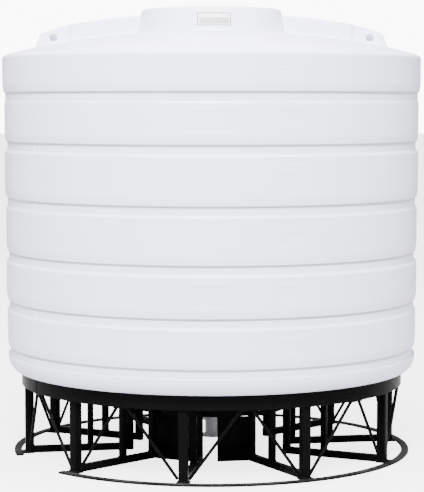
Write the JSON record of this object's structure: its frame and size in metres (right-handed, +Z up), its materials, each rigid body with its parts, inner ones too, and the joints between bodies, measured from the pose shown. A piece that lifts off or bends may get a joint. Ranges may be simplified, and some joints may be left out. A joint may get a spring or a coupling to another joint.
{
  "type": "vertical storage tank",
  "caption": "Upright cone-bottom storage tank: a grooved white moulded shell with a low domed top, wide crown and lifting lugs, standing on a black steel ring stand with radial frames.",
  "frame": {"origin": "on the floor at the tank's axis", "axes": "+Z up along the tank's axis; -Y is the front, the side the picture shows; the lifting lugs lie along X"},
  "size_m": [3.644, 3.644, 3.86],
  "materials": {
    "white_polyethylene": "satin moulded skin with faint mottling",
    "painted_steel": "satin black paint, scuffed and dusty on the floor ring",
    "black_fitting": "moulded black fitting"
  },
  "bodies": {
    "root": {"base_ring": "painted_steel", "brace_pair_01": "painted_steel", "brace_pair_02": "painted_steel", "brace_pair_03": "painted_steel", "brace_pair_04": "painted_steel", "brace_pair_05": "painted_steel", "brace_pair_06": "painted_steel", "brace_pair_07": "painted_steel", "brace_pair_08": "painted_steel", "brace_pair_09": "painted_steel", "brace_pair_10": "painted_steel", "hub_panel_left": "painted_steel", "hub_panel_right": "painted_steel", "hub_ring": "painted_steel", "leg_01": "painted_steel", "leg_02": "painted_steel", "leg_03": "painted_steel", "leg_04": "painted_steel", "leg_05": "painted_steel", "leg_06": "painted_steel", "leg_07": "painted_steel", "leg_08": "painted_steel", "leg_09": "painted_steel", "leg_10": "painted_steel", "lifting_lug_left": "white_polyethylene", "lifting_lug_right": "white_polyethylene", "manway_lid": "white_polyethylene", "outlet_nozzle": "black_fitting", "radial_frame_01": "painted_steel", "radial_frame_02": "painted_steel", "radial_frame_03": "painted_steel", "radial_frame_04": "painted_steel", "radial_frame_05": "painted_steel", "radial_frame_06": "painted_steel", "radial_frame_07": "painted_steel", "radial_frame_08": "painted_steel", "radial_frame_09": "painted_steel", "radial_frame_10": "painted_steel", "tank_barrel": "white_polyethylene", "tank_cone": "white_polyethylene", "tank_crown": "white_polyethylene", "tank_dome": "white_polyethylene", "top_band": "painted_steel"}
  },
  "joints": []
}
